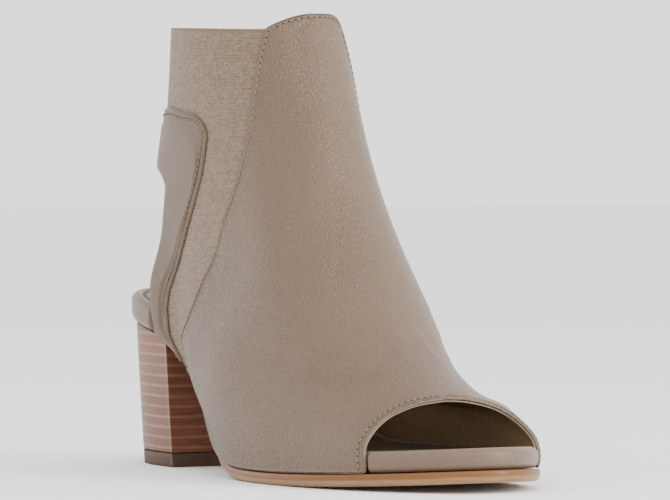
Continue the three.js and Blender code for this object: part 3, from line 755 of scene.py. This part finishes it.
def stacked_leather(name, side, line, breast):
    """Stacked heel layers: level joints, streaked along each layer; painted shade makes the lower heel,
    the top of each layer and the breast darker.
    """
    material, tree, shader = new_material(name)
    place = node(tree, "ShaderNodeTexCoord").outputs["Object"]
    parts = node(tree, "ShaderNodeSeparateXYZ", {0: place})
    height = maths(tree, "DIVIDE", parts.outputs[2], LAYER * MM)
    wander = noise(tree, stretched(tree, (60, 60, 30)), 1.0, 2.0, 0.5)
    level = maths(tree, "ADD", height, maths(tree, "MULTIPLY", wander, 0.16))
    within = maths(tree, "FRACT", level)
    layer = maths(tree, "FLOOR", level)
    chance = node(tree, "ShaderNodeTexWhiteNoise", {"W": layer}, noise_dimensions="1D").outputs[0]
    from_middle = maths(tree, "ABSOLUTE", maths(tree, "SUBTRACT", within, 0.5))
    joint = ramp(tree, from_middle, 0.3, 0.5)
    breaks = noise(tree, stretched(tree, (160, 160, 500)), 1.0, 2.0, 0.5)
    broken = ramp(tree, breaks, 0.3, 0.65, 0.35, 0.8)
    pale = maths(tree, "MULTIPLY", joint, broken)
    streaks = noise(tree, stretched(tree, (90, 90, 1500)), 1.0, 3.0, 0.6)
    shade = blend(tree, ramp(tree, chance, 0, 1, 0.0, 0.35), side, times(side, 0.72))
    shade = blend(tree, ramp(tree, streaks, 0.35, 0.7, 0.0, 0.4), shade, times(side, 0.7))
    # Painted shade: darker towards the bottom of the heel, and each layer darker towards its top, just
    # under the joint above.
    lower = ramp(tree, parts.outputs[2], 0.01, 0.045, 0.45, 0.0)
    shade = blend(tree, lower, shade, times(side, 0.55))
    under = ramp(tree, within, 0.0, 1.0, 0.0, 0.3)
    shade = blend(tree, under, shade, times(side, 0.6))
    shade = blend(tree, pale, shade, line)
    # Painted shade: the breast, facing the toe under the arch, is darker.
    facing = node(tree, "ShaderNodeNewGeometry").outputs["Normal"]
    front = node(tree, "ShaderNodeSeparateXYZ", {0: facing}).outputs[0]
    on_breast = ramp(tree, front, 0.55, 0.8)
    painted_shade = blend(tree, ramp(tree, streaks, 0.35, 0.7), breast, times(breast, 0.6))
    painted_shade = blend(tree, pale, painted_shade, times(line, 0.6))
    shade = blend(tree, on_breast, shade, painted_shade)
    relief = maths(tree, "SUBTRACT", maths(tree, "MULTIPLY", streaks, 0.3), joint)
    bumped(tree, shader, relief, 0.4, 0.0002)
    surface(tree, shader, Base_Color=shade, Roughness=0.45, Specular_IOR_Level=0.2)
    surface(tree, shader, Coat_Weight=0.05, Coat_Roughness=0.3)
    return material


def sole_leather(name, top, bevel):
    """Edge of a leather sole: warm tan above, a lighter band along the bevel."""
    material, tree, shader = new_material(name)
    streaks = noise(tree, stretched(tree, (80, 80, 900)), 1.0, 3.0, 0.6)
    fine = noise(tree, stretched(tree, (1000, 1000, 1000)), 0.5, 3.0, 0.6)
    shade = blend(tree, ramp(tree, told(tree, "level"), 0.42, 0.58), bevel, top)
    shade = blend(tree, ramp(tree, streaks, 0.3, 0.75, 0.0, 0.5), shade, times(top, 0.72))
    shade = blend(tree, told(tree, "waist"), shade, WAIST_BROWN)
    relief = maths(tree, "ADD", streaks, maths(tree, "MULTIPLY", fine, 0.4))
    bumped(tree, shader, relief, 0.25, 0.0001)
    surface(tree, shader, Base_Color=shade, Roughness=0.38, Specular_IOR_Level=0.2)
    surface(tree, shader, Coat_Weight=0.08, Coat_Roughness=0.25)
    return material


def plain(name, color, roughness, grain_scale=0.8, grain=0.3, speckle=None):
    """One colour with a fine uneven surface."""
    material, tree, shader = new_material(name)
    place = stretched(tree, (1000, 1000, 1000))
    fine = noise(tree, place, grain_scale, 3.0, 0.65)
    bumped(tree, shader, fine, grain, 0.0002)
    other = speckle if speckle is not None else times(color, 0.8)
    shade = blend(tree, ramp(tree, fine, 0.38, 0.62), color, other)
    surface(tree, shader, Base_Color=shade, Roughness=roughness, Specular_IOR_Level=0.2)
    return material


def edged(material, color, width):
    """Gives a sheet's material another colour along its cut edge."""
    tree = material.node_tree
    shader = tree.nodes["Principled BSDF"]
    shade = shader.inputs["Base Color"].links[0].from_socket
    at_edge = ramp(tree, told(tree, "from_edge"), 0.0, width, 1.0, 0.0)
    surface(tree, shader, Base_Color=blend(tree, at_edge, shade, color))


WAIST_BROWN = rgb(0.09, 0.06, 0.04)
TAUPE = rgb(0.134, 0.084, 0.051)
# Painted highlight colour for the turned edges of the vamp and strap.
TAUPE_EDGE_HIGHLIGHT = rgb(0.16, 0.11, 0.076)
vamp_skin = leather("vamp_leather", TAUPE, TAUPE_EDGE_HIGHLIGHT)
STRAP = rgb(0.124, 0.077, 0.047)
# Painted shade colour for the strap's flat stitched band.
STRAP_BAND_SHADE = rgb(0.095, 0.06, 0.039)
strap_skin = leather(
    "strap_leather", STRAP, TAUPE_EDGE_HIGHLIGHT, grain=0.35, roughness=0.4, coat=0.06,
    band_shade=STRAP_BAND_SHADE,
)
footbed_skin = leather("footbed_leather", rgb(0.152, 0.1, 0.07), grain=0.35, roughness=0.34, coat=0.15)
# The second colour is the painted shade in the grooves between the ribs.
elastic_cloth = ribbed_elastic("elastic_cloth", rgb(0.19, 0.125, 0.082), rgb(0.115, 0.072, 0.045))
lining_skin = plain("lining_leather", rgb(0.36, 0.24, 0.125), 0.7, 0.9, 0.25)
# The cut edge's colour is its own paler edge toned down with painted shade.
edged(lining_skin, rgb(0.27, 0.21, 0.16), CUT_EDGE)
sock_cloth = plain("sock_leather", rgb(0.21, 0.15, 0.095), 0.85, 1.3, 0.5, rgb(0.09, 0.06, 0.035))
# The last colour is the breast's painted shade.
heel_stack = stacked_leather(
    "heel_stack", rgb(0.205, 0.09, 0.053), rgb(0.35, 0.205, 0.14), rgb(0.16, 0.055, 0.028)
)
lift_rubber = plain("lift_rubber", rgb(0.075, 0.042, 0.027), 0.6, 0.6, 0.3)
sole_edge = sole_leather("sole_edge", rgb(0.17, 0.072, 0.023), rgb(0.3, 0.175, 0.085))
thread_light = plain("thread_light", rgb(0.2, 0.148, 0.1), 0.75, 3.0, 0.6)
# Painted shade: dark pieces sunk into the leather stand in for the shade inside the stitch holes.
hole_shade = plain("hole_shade", rgb(0.015, 0.01, 0.007), 0.9, 1.0, 0.1)

# Front leather
turns, ups = vamp_places(330, 230, LEATHER / 2)
face = wall_point(turns, ups, 0.0)
normals = grid_normals(face)
face = folded(turns, ups, face, normals, FOLDS)
face = face + normals * slow_wave(face, 7, 46.0, 0.1)[..., None]
vamp = panel("vamp_leather", face, LEATHER, vamp_skin, back=False, tuck=4.0)
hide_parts("vamp")

# Lining of the front, with its greyer cut edge at the toe opening: partly the edge's own colour, partly
# painted shade
turns, ups = vamp_places(220, 110, LINING_THICK / 2 + 0.2, beyond=2.0, rounds=40)
depths = LEATHER + CUT_EDGE + (LINING_DEPTH - LEATHER) * ease(np.linspace(0, 1, 110) / 0.35)
face = wall_point(turns, ups, depths[None, :])
panel("front_lining", face, LINING_THICK, lining_skin)

# Elastic round the back
turns, ups = back_places(360, 125, ELASTIC_THICK / 2)
face = wall_point(turns, ups, ELASTIC_DEPTH)
steps = np.linalg.norm(np.diff(face, axis=0), axis=2)
arc = np.concatenate([np.zeros((1, face.shape[1])), np.cumsum(steps, 0)])
cloth_uv = np.stack([arc, face[..., 2]], -1)
elastic = panel("elastic_panel", face, ELASTIC_THICK, elastic_cloth, uv=cloth_uv)
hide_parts("upper")

# Back strap: a flat stitched band along its outer edge, the rest padded
turns, ups, from_cut, width = strap_places(460, 56, LEATHER / 2)
from_seam = width - from_cut
band = np.minimum(STRAP_BAND, 0.4 * width)
onto_pad = ease((from_seam - 0.7 * band) / np.clip(0.6 * band, 0.5, 4.0))
off_pad = np.sqrt(np.clip(from_cut / 3.0, 0, 1))
lift = STRAP_LIFT + STRAP_PUFF * onto_pad * off_pad * np.clip(width / 9.0, 0.3, 1)
face = wall_point(turns, ups, -lift)
normals = grid_normals(face)
face = face + normals * slow_wave(face, 3, 18.0, 0.1)[..., None]
# The share onto the padding also marks where the band's painted shade ends.
shares = {"on_pad": onto_pad}
strap = panel("strap_leather", face, LEATHER, strap_skin, shares=shares)
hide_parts("heel_strap")


# Footbed, outsole and heel


def outline_point(turn, out, up):
    """Points beside the last's rings, moved level outwards in mm."""
    along = last_point(turn + 0.5, up) - last_point(turn - 0.5, up)
    away = np.stack([along[..., 1], -along[..., 0], np.zeros(along.shape[:-1])], -1)
    return last_point(turn, up) + unit(away) * np.asarray(out)[..., None]


def shown(turn):
    """Share by which the footbed shows past the leather, at the toe and at the heel."""
    toe_edge = np.where(turn < 0, TOE_ARCH_OUTER[-1, 0], TOE_ARCH_INNER[-1, 0])
    toe = ease((toe_edge + 0.4 - np.abs(turn)) / 1.1)
    heel = ease((np.abs(turn) - CUT_OUT[0, 0] - 0.3) / 1.4)
    return toe, heel


def footbed_thick(x):
    return FOOTBED_HEEL + (FOOTBED_TOE - FOOTBED_HEEL) * ease(x / (0.5 * LAST_LENGTH))


def seat_end(x):
    return ease(1 - x / BREAST)


def seat_height(x):
    """Height of the footbed's underside, which curves up a little at the back of the heel."""
    return feather_height(x) + SEAT_TAIL * seat_end(x)


def footbed_row(turn, share, inset, drop):
    toe, heel = shown(turn)
    most = np.maximum(toe, heel)
    target = FOOTBED_OUT_TOE + (FOOTBED_OUT_HEEL - FOOTBED_OUT_TOE) * heel
    out = -FOOTBED_GAP + (target + FOOTBED_GAP) * most - inset * (1 + 0.5 * heel * (share < 0.5))
    foot = last_point(turn, np.zeros(turn.shape))
    level = share * footbed_thick(foot[..., 0]) / (SHAFT_HEIGHT - foot[..., 2]) * (1 - most)
    point = outline_point(turn, out, level)
    x = point[..., 0]
    cup = CUP_RISE * seat_end(x) * (1 - ease((inset - FOOTBED_ROUND) / 3.5))
    point[..., 2] = seat_height(x) + (footbed_thick(x) + cup) * share - drop
    return point


def ring_mesh(name, rings, material):
    """Rings of equal count joined one after another, the first and last ones filled across."""
    index = np.arange(rings[..., 0].size).reshape(rings.shape[:2])
    faces = grid_faces(np.concatenate([index, index[:, :1]], 1), True)
    faces += cap_faces(index[0], True) + cap_faces(index[-1], False)
    return mesh_object(name, rings.reshape(-1, 3), faces, material)


def capped_rings(name, rings, material, turned, attributes=None):
    """Rings of an open outline, closed straight across their ends, and filled above and below."""
    index = np.arange(rings[..., 0].size).reshape(rings.shape[:2])
    faces = grid_faces(index, True)
    if turned:
        faces = [face[::-1] for face in faces]
    faces += cap_faces(index[0], not turned) + cap_faces(index[-1], turned)
    for low, high in zip(index[:-1], index[1:]):
        faces.append([low[0], high[0], high[-1], low[-1]])
    return mesh_object(name, rings.reshape(-1, 3), faces, material, attributes)


def round_turns(count):
    """Turns right round the sole, mirrored so that both sides pair up."""
    half = np.linspace(0, 180, count // 2 + 1)
    half = half + 3.0 * np.sin(np.radians(2 * half))
    return np.concatenate([-half[::-1][:-1], half[:-1]])


# Rows of the footbed's leather and of the sock on it: share of the thickness, inset, drop
around = round_turns(520)
rows = [(0.0, 1.9, 0.0), (0.04, 1.3, 0.0), (0.12, 0.6, 0.0), (0.25, 0.15, 0.0), (0.4, 0.0, 0.0)]
for a in np.radians(np.arange(0, 91, 11.25)):
    rows.append((1.0, FOOTBED_ROUND * (1 - math.cos(a)), FOOTBED_ROUND * (1 - math.sin(a))))
for inset, drop in ((0.6, 0.02), (0.95, 0.25), (1.1, 0.9)):
    rows.append((1.0, FOOTBED_ROUND + inset, drop))
rings = np.array([footbed_row(around, *row) for row in rows])
footbed = ring_mesh("footbed_wrap", rings, footbed_skin)
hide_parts("insole")

rows = [(1.25, 1.0), (1.35, 0.45), (1.9, 0.25), (3.4, 0.3), (6, 0.47), (9, 0.53), (13, 0.61)]
rings = np.array([footbed_row(around, 1.0, FOOTBED_ROUND + inset, drop) for inset, drop in rows])
ring_mesh("sock", rings, sock_cloth)

# Outsole
end_share = (BREAST + SEAM_GAP - float(ring_back(0.0)[0])) / float(ring_span(0.0)[0])
end_turn = math.degrees(math.acos(2 * end_share - 1))


def waist_share(x):
    """How thin the outsole's waist is at a distance, from 1 at the breast to 0."""
    return ease(1 - (x - BREAST) / (WAIST_SHARE * LAST_LENGTH))


def tucked(x):
    """How far the outsole's edge is drawn in under the foot, from 1 at the breast to 0."""
    return ease((WAIST_END - x) / WAIST_FADE)


def outsole_row(turn, level, inset):
    foot_x = last_point(turn, np.zeros(turn.shape))[..., 0]
    out = OUTSOLE_EDGE + (-OUTSOLE_TUCK - OUTSOLE_EDGE) * tucked(foot_x) - inset
    point = outline_point(turn, out, np.zeros(turn.shape))
    point[..., 0] = np.maximum(point[..., 0], BREAST + SEAM_GAP)
    x = point[..., 0]
    top = feather_height(x) - SEAM_GAP
    thick = OUTSOLE_THICK + (OUTSOLE_WAIST - OUTSOLE_THICK) * waist_share(x)
    under = np.maximum(0, top - thick)
    point[..., 2] = under + (top - under) * level
    return point


# Rings of the outsole: share of its thickness, inset
half_turns = np.linspace(0, end_turn, 240)
profile = [(0.0, 1.9), (0.03, 1.5), (0.1, 0.95), (0.2, 0.45), (0.3, 0.2), (0.42, 0.05), (0.55, 0.0)]
profile += [(0.72, 0.02), (0.86, 0.1), (0.96, 0.28), (1.0, 0.7)]
rings = []
levels = []
for level, inset in profile:
    left = outsole_row(-half_turns[::-1], level, inset)
    right = outsole_row(half_turns[1:], level, inset)
    rings.append(np.concatenate([left, right]))
    levels.append(np.full(len(left) + len(right), level))
rings = np.array(rings)
waist = waist_share(rings[..., 0] - 0.04 * LAST_LENGTH)
attributes = {"level": np.array(levels).ravel(), "waist": ease(waist.ravel() * 1.2)}
outsole = capped_rings("outsole_leather", rings, sole_edge, False, attributes)
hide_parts("outsole")


def heel_outline(share, count=90):
    """Outline of the block heel at a share of its height, from the breast round the back to it."""
    seat_back = float(ring_back(0.0)[0]) + HEEL_INSET
    back = (BREAST - HEEL_FOOT_DEPTH) * (1 - share) + seat_back * share
    widest = outline_point(np.array([SEAT_TURN]), np.zeros(1), np.zeros(1))
    seat_half = abs(widest[0, 1]) - 0.3 * HEEL_INSET
    half = HEEL_FOOT_WIDTH / 2 + (seat_half - HEEL_FOOT_WIDTH / 2) * share**0.9
    angle = np.linspace(0, math.pi / 2, count)
    power = 2 / HEEL_SQUARENESS
    x = BREAST - (BREAST - back) * np.cos(angle) ** power
    y = half * np.sin(angle) ** power
    return np.concatenate([np.stack([x[::-1], -y[::-1]], 1), np.stack([x[1:], y[1:]], 1)])


def heel_rings(low, high, shares, bevel):
    rings = []
    middle = np.array([BREAST - 0.5 * HEEL_FOOT_DEPTH, 0.0])
    for level in shares:
        rough = (low + (float(high(np.zeros(1))[0]) - low) * level) / SEAT_HEIGHT
        outline = heel_outline(rough)
        z = low + (high(outline[:, 0]) - low) * level
        points = np.column_stack([outline, z])
        inset = bevel * max(0.0, 1 - min(level, 1 - level) / 0.02)
        away = points[:, :2] - middle
        points[:, :2] -= away / np.linalg.norm(away, axis=1)[:, None] * inset
        rings.append(points)
    return np.array(rings)


def block(name, rings, material):
    """A block with round sides, whose breast and ends stay flat."""
    obj = capped_rings(name, rings, material, True)
    for polygon in obj.data.polygons:
        flat = abs(polygon.normal.x) >= 0.98 or abs(polygon.normal.z) >= 0.9
        polygon.use_smooth = len(polygon.vertices) == 4 and not flat
    return obj


steps = np.concatenate([[0, 0.01], np.linspace(0.02, 0.98, 40), [0.99, 1.0]])
rings = heel_rings(TOP_LIFT + SEAM_GAP, lambda x: seat_height(x) - SEAM_GAP, steps, 0.25)
heel = block("heel_block", rings, heel_stack)
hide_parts("heel")
steps = [0, 0.01, 0.02, 0.3, 0.6, 0.98, 1.0]
rings = heel_rings(0.0, lambda x: np.full(np.shape(x), TOP_LIFT), steps, 0.3)
lift_piece = block("top_lift_rubber", rings, lift_rubber)
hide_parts("top_lift")


# Stitches


def capsule(length, radius, sides=6, rings_at_end=2):
    """A short thread with round ends, along x."""
    points = []
    angles = np.linspace(0, math.pi / 2, rings_at_end + 1)
    stations = [(-length / 2 + radius - radius * math.cos(a), radius * math.sin(a)) for a in angles]
    stations += [(-x, r) for x, r in stations[::-1]]
    for x, r in stations:
        for k in range(sides):
            a = 2 * math.pi * k / sides
            points.append((x, max(r, 0.004) * math.cos(a), max(r, 0.004) * math.sin(a)))
    faces = []
    for i in range(len(stations) - 1):
        for k in range(sides):
            n = (k + 1) % sides
            faces.append((i * sides + k, i * sides + n, (i + 1) * sides + n, (i + 1) * sides + k))
    return np.array(points), faces


def stitch_line(turns, ups, depth):
    """Places and directions at every stitch along a way over the last."""
    line = wall_point(turns, ups, depth)
    lengths = np.concatenate([[0], np.cumsum(np.linalg.norm(np.diff(line, axis=0), axis=1))])
    count = int(lengths[-1] / STITCH_PITCH)
    at = (np.arange(count) + 0.5) * lengths[-1] / count

    def along(at):
        return np.stack([np.interp(at, lengths, line[:, k]) for k in range(3)], 1)

    way = unit(along(at + 0.4) - along(at - 0.4))
    return along(at), way, outward(np.interp(at, lengths, turns), np.interp(at, lengths, ups))


def stitches(name, lines, seed):
    """Leaning stitches along the lines, with a dark piece between each and the next as painted shade in
    the needle hole.
    """
    chance = random.Random(seed)
    shape, shape_faces = capsule(STITCH_LENGTH, THREAD)
    hole, hole_faces = capsule(HOLE_LENGTH, HOLE_RADIUS)
    sets = {"thread": [[], []], "shaded_holes": [[], []]}
    for places, ways, normals_at in lines:
        for place, way, normal in zip(places, ways, normals_at):
            across = np.cross(normal, way)
            lean = math.radians(chance.uniform(5, 13))
            leant = way * math.cos(lean) + across * math.sin(lean)
            beside = np.cross(normal, leant)
            for key, form, form_faces, at, flat in (
                ("thread", shape, shape_faces, place + normal * 0.1, 0.8),
                ("shaded_holes", hole, hole_faces, place + way * STITCH_PITCH / 2 + normal * 0.02, 0.6),
            ):
                points, faces = sets[key]
                start = sum(len(p) for p in points)
                placed = at + form[:, :1] * leant + form[:, 1:2] * beside + form[:, 2:3] * normal * flat
                points.append(placed)
                faces += [[start + v for v in face] for face in form_faces]
    for key, material in (("thread", thread_light), ("shaded_holes", hole_shade)):
        points, faces = sets[key]
        mesh_object(name + "_" + key, np.concatenate(points), faces, material)


def inset_way(rows, inset, first=0.0, last=1.0, inside=-1.0, count=240):
    """A way beside an edge on the last, moved across it by an inset in mm."""
    turns, ups = edge(rows, np.linspace(first, last, count))
    line = last_point(turns, ups)
    tangent = unit(np.gradient(line, axis=0))
    across = unit(np.cross(outward(turns, ups), tangent)) * inside
    per_turn = last_point(turns + 0.5, ups) - last_point(turns - 0.5, ups)
    per_up = (last_point(turns, ups + 0.005) - last_point(turns, ups - 0.005)) / 0.01
    moved = across * inset
    out_turns = turns.copy()
    out_ups = ups.copy()
    for i in range(count):
        basis = np.stack([per_turn[i], per_up[i]], 1)
        step = np.linalg.lstsq(basis, moved[i], rcond=None)[0]
        out_turns[i] += step[0]
        out_ups[i] += step[1]
    return out_turns, out_ups


seam_lines = []
arch_lines = []
strap_lines = []
for side, arch in ((-1, TOE_ARCH_OUTER), (1, TOE_ARCH_INNER)):
    turns, ups = inset_way(VAMP_SEAM, SEAM_STITCH_INSET, 0.02, 0.995, inside=1.0)
    seam_lines.append(stitch_line(side * turns, ups, 0.0))
    turns, ups = inset_way(arch, ARCH_STITCH_INSET, 0.0, 0.97, inside=1.0)
    arch_lines.append(stitch_line(side * turns, ups, 0.0))
    turns, ups = inset_way(STRAP_EDGE, STRAP_STITCH_INSET, 0.1, 0.995, inside=-1.0)
    strap_lines.append(stitch_line(side * turns, ups, -0.15))
tab_turns = np.linspace(-33, 33, 240)
tab_ups = collar_up(tab_turns) - TAB_STITCH_INSET / (SHAFT_HEIGHT - BALL_HEIGHT)
seam_lines.append(stitch_line(tab_turns, tab_ups, 0.0))
stitches("seam_stitch", seam_lines, 1)
stitches("arch_stitch", arch_lines, 2)
stitches("strap_stitch", strap_lines, 3)

# Floor, light and camera


def plane(name, corners, material):
    mesh = bpy.data.meshes.new(name)
    mesh.from_pydata(corners, [], [(0, 1, 2, 3)])
    obj = new_object(name, mesh)
    obj.data.materials.append(material)
    return obj


floor_paint = plain("floor_paint", rgb(0.9, 0.9, 0.9), 0.9, 0.02, 0.0, speckle=rgb(0.9, 0.9, 0.9))
floor = plane("floor", [(-6, -6, 0), (6, -6, 0), (6, 6, 0), (-6, 6, 0)], floor_paint)

world = bpy.data.worlds.new("studio")
world.use_nodes = True
world.node_tree.nodes["Background"].inputs[0].default_value = (1.0, 1.0, 1.0, 1.0)
world.node_tree.nodes["Background"].inputs[1].default_value = 1.9
bpy.context.scene.world = world


def soft_light(name, place, target, wide, high, power):
    lamp = bpy.data.lights.new(name, "AREA")
    lamp.shape = "RECTANGLE"
    lamp.size = wide
    lamp.size_y = high
    lamp.energy = power
    obj = new_object(name, lamp)
    obj.location = place
    obj.rotation_euler = (Vector(target) - Vector(place)).to_track_quat("-Z", "Y").to_euler()


middle = (0.0, 0.0, 0.07)
soft_light("window", (1.04, 0.59, 0.5), middle, 0.3, 1.0, 17.0)
soft_light("front", (1.0, -0.45, 1.05), middle, 0.6, 0.6, 5.0)
soft_light("rear_side", (-0.9, -0.6, 0.35), middle, 0.7, 0.7, 2.2)

SIGHT = in_row(np.array([125.3, 0.0, 82.5]))
AWAY = math.radians(29.5)
ABOVE = math.radians(1.26)
level_way = (math.cos(AWAY) * math.cos(ABOVE), -math.sin(AWAY) * math.cos(ABOVE))
back_way = Vector((*level_way, math.sin(ABOVE)))
camera_data = bpy.data.cameras.new("camera")
camera_data.lens = 295.5
camera = new_object("camera", camera_data)
camera.location = Vector(SIGHT) + back_way * 2.0
camera.rotation_euler = (-back_way).to_track_quat("-Z", "Y").to_euler()
bpy.context.scene.camera = camera
